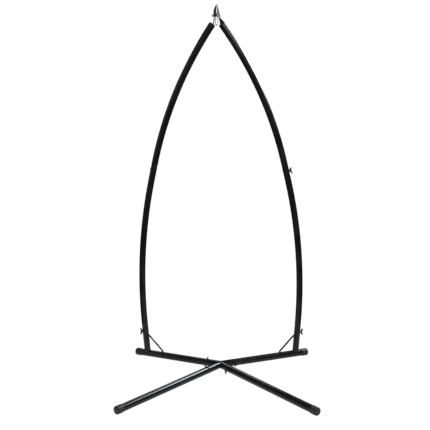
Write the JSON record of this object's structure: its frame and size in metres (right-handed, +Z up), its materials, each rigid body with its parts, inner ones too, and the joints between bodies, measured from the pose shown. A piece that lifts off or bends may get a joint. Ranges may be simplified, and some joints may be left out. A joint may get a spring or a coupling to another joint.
{
  "type": "hammock chair stand",
  "caption": "Tall A-shaped stand on a flat X of tube legs; two bowed arms meet overhead and carry a snap hook for hanging a hammock chair.",
  "frame": {"origin": "on the floor at the centre of the footprint, which is the centre of the bounding box's bottom face", "axes": "+Z is up; +Y is the back, where the arms stand; +X is to the right of someone who stands in front"},
  "size_m": [1.266, 1.0628, 2.45],
  "materials": {
    "powder_coat": "black powder coat, satin, on steel tube and plate",
    "cap_plastic": "moulded black polyethylene, slightly greyer than the tube",
    "knob_plastic": "moulded black nylon",
    "zinc_steel": "bright zinc plate on steel fasteners",
    "hook_steel": "galvanised steel wire, light grey",
    "spring_steel": "bare spring wire"
  },
  "bodies": {
    "frame": {"socket_front_right": "powder_coat", "leg_front_right": "powder_coat", "end_cap_front_right": "cap_plastic", "socket_rear_right": "powder_coat", "leg_rear_right": "powder_coat", "end_cap_rear_right": "cap_plastic", "socket_rear_left": "powder_coat", "leg_rear_left": "powder_coat", "end_cap_rear_left": "cap_plastic", "socket_front_left": "powder_coat", "leg_front_left": "powder_coat", "end_cap_front_left": "cap_plastic", "post_right": "powder_coat", "brace_right": "powder_coat", "lower_arm_right": "powder_coat", "upper_arm_right": "powder_coat", "arm_plug_right": "cap_plastic", "post_left": "powder_coat", "brace_left": "powder_coat", "lower_arm_left": "powder_coat", "upper_arm_left": "powder_coat", "arm_plug_left": "cap_plastic", "socket_weld_nuts": "powder_coat", "post_weld_nuts": "powder_coat", "arm_weld_nuts": "powder_coat", "hanger_bracket_right": "powder_coat", "hanger_bracket_left": "powder_coat", "hanger_bolt": "zinc_steel", "hanger_bush": "zinc_steel", "hanger_lock_nut": "zinc_steel", "hanger_washers": "zinc_steel"},
    "screw_rear_right": {"stud_rear_right": "zinc_steel"},
    "knob_rear_right": {"wing_rear_right": "knob_plastic"},
    "screw_rear_left": {"stud_rear_left": "zinc_steel"},
    "knob_rear_left": {"wing_rear_left": "knob_plastic"},
    "screw_front_left": {"stud_front_left": "zinc_steel"},
    "knob_front_left": {"wing_front_left": "knob_plastic"},
    "screw_front_right": {"stud_front_right": "zinc_steel"},
    "knob_front_right": {"wing_front_right": "knob_plastic"},
    "screw_post_right": {"stud_post_right": "zinc_steel"},
    "knob_post_right": {"wing_post_right": "knob_plastic"},
    "screw_arm_right": {"stud_arm_right": "zinc_steel"},
    "knob_arm_right": {"wing_arm_right": "knob_plastic"},
    "screw_post_left": {"stud_post_left": "zinc_steel"},
    "knob_post_left": {"wing_post_left": "knob_plastic"},
    "screw_arm_left": {"stud_arm_left": "zinc_steel"},
    "knob_arm_left": {"wing_arm_left": "knob_plastic"},
    "hook": {"snap_hook_body": "hook_steel", "snap_hook_gate_pin": "hook_steel"},
    "gate": {"snap_hook_gate": "hook_steel", "snap_hook_gate_spring": "spring_steel"}
  },
  "joints": [
    {"name": "rear_right_travel", "type": "slide", "parent": "frame", "child": "screw_rear_right", "axis": [0.3907, -0.9205, 0], "range_m": [0, 0.005]},
    {"name": "rear_right_turn", "type": "hinge", "parent": "screw_rear_right", "child": "knob_rear_right", "pos_m": [0.11063, 0.2658, 0.0255], "axis": [0.3907, -0.9205, 0], "range_deg": [0, 1440]},
    {"name": "rear_left_travel", "type": "slide", "parent": "frame", "child": "screw_rear_left", "axis": [0.3907, 0.9205, 0], "range_m": [0, 0.005]},
    {"name": "rear_left_turn", "type": "hinge", "parent": "screw_rear_left", "child": "knob_rear_left", "pos_m": [-0.09188, 0.30998, 0.0255], "axis": [0.3907, 0.9205, 0], "range_deg": [0, 1440]},
    {"name": "front_left_travel", "type": "slide", "parent": "frame", "child": "screw_front_left", "axis": [-0.788, 0.6157, 0], "range_m": [0, 0.005]},
    {"name": "front_left_turn", "type": "hinge", "parent": "screw_front_left", "child": "knob_front_left", "pos_m": [-0.08664, 0.17301, 0.0255], "axis": [-0.788, 0.6157, 0], "range_deg": [0, 1440]},
    {"name": "front_right_travel", "type": "slide", "parent": "frame", "child": "screw_front_right", "axis": [-0.788, -0.6157, 0], "range_m": [0, 0.005]},
    {"name": "front_right_turn", "type": "hinge", "parent": "screw_front_right", "child": "knob_front_right", "pos_m": [0.04881, 0.14345, 0.0255], "axis": [-0.788, -0.6157, 0], "range_deg": [0, 1440]},
    {"name": "post_right_travel", "type": "slide", "parent": "frame", "child": "screw_post_right", "axis": [0.917, 0.3892, -0.0872], "range_m": [0, 0.005]},
    {"name": "post_right_turn", "type": "hinge", "parent": "screw_post_right", "child": "knob_post_right", "pos_m": [0.57104, 0.4873, 0.18293], "axis": [0.917, 0.3892, -0.0872], "range_deg": [0, 1440]},
    {"name": "arm_right_travel", "type": "slide", "parent": "frame", "child": "screw_arm_right", "axis": [0.873, -0.4617, 0.1576], "range_m": [0, 0.005]},
    {"name": "arm_right_turn", "type": "hinge", "parent": "screw_arm_right", "child": "knob_arm_right", "pos_m": [0.48277, 0.43111, 1.35802], "axis": [0.873, -0.4617, 0.1576], "range_deg": [0, 1440]},
    {"name": "post_left_travel", "type": "slide", "parent": "frame", "child": "screw_post_left", "axis": [-0.917, 0.3892, -0.0872], "range_m": [0, 0.005]},
    {"name": "post_left_turn", "type": "hinge", "parent": "screw_post_left", "child": "knob_post_left", "pos_m": [-0.57104, 0.4873, 0.18293], "axis": [-0.917, 0.3892, -0.0872], "range_deg": [0, 1440]},
    {"name": "arm_left_travel", "type": "slide", "parent": "frame", "child": "screw_arm_left", "axis": [-0.2743, 0.9486, 0.1576], "range_m": [0, 0.005]},
    {"name": "arm_left_turn", "type": "hinge", "parent": "screw_arm_left", "child": "knob_arm_left", "pos_m": [-0.4693, 0.46284, 1.35802], "axis": [-0.2743, 0.9486, 0.1576], "range_deg": [0, 1440]},
    {"name": "hook_swing", "type": "hinge", "parent": "frame", "child": "hook", "pos_m": [0, 0.24691, 2.384], "axis": [1, 0, 0], "range_deg": [-30, 60]},
    {"name": "gate_open", "type": "hinge", "parent": "hook", "child": "gate", "pos_m": [0.00677, 0.23518, 2.37468], "axis": [0.866, 0.5, 0], "range_deg": [0, 22], "stiffness_Nm_per_rad": 0.03, "springref_deg": -17.19}
  ],
  "couplings": [
    {"joint": "rear_right_turn", "follows": "rear_right_travel", "rad_per_m": 5026.5},
    {"joint": "rear_left_turn", "follows": "rear_left_travel", "rad_per_m": 5026.5},
    {"joint": "front_left_turn", "follows": "front_left_travel", "rad_per_m": 5026.5},
    {"joint": "front_right_turn", "follows": "front_right_travel", "rad_per_m": 5026.5},
    {"joint": "post_right_turn", "follows": "post_right_travel", "rad_per_m": 5026.5},
    {"joint": "arm_right_turn", "follows": "arm_right_travel", "rad_per_m": 5026.5},
    {"joint": "post_left_turn", "follows": "post_left_travel", "rad_per_m": 5026.5},
    {"joint": "arm_left_turn", "follows": "arm_left_travel", "rad_per_m": 5026.5}
  ]
}
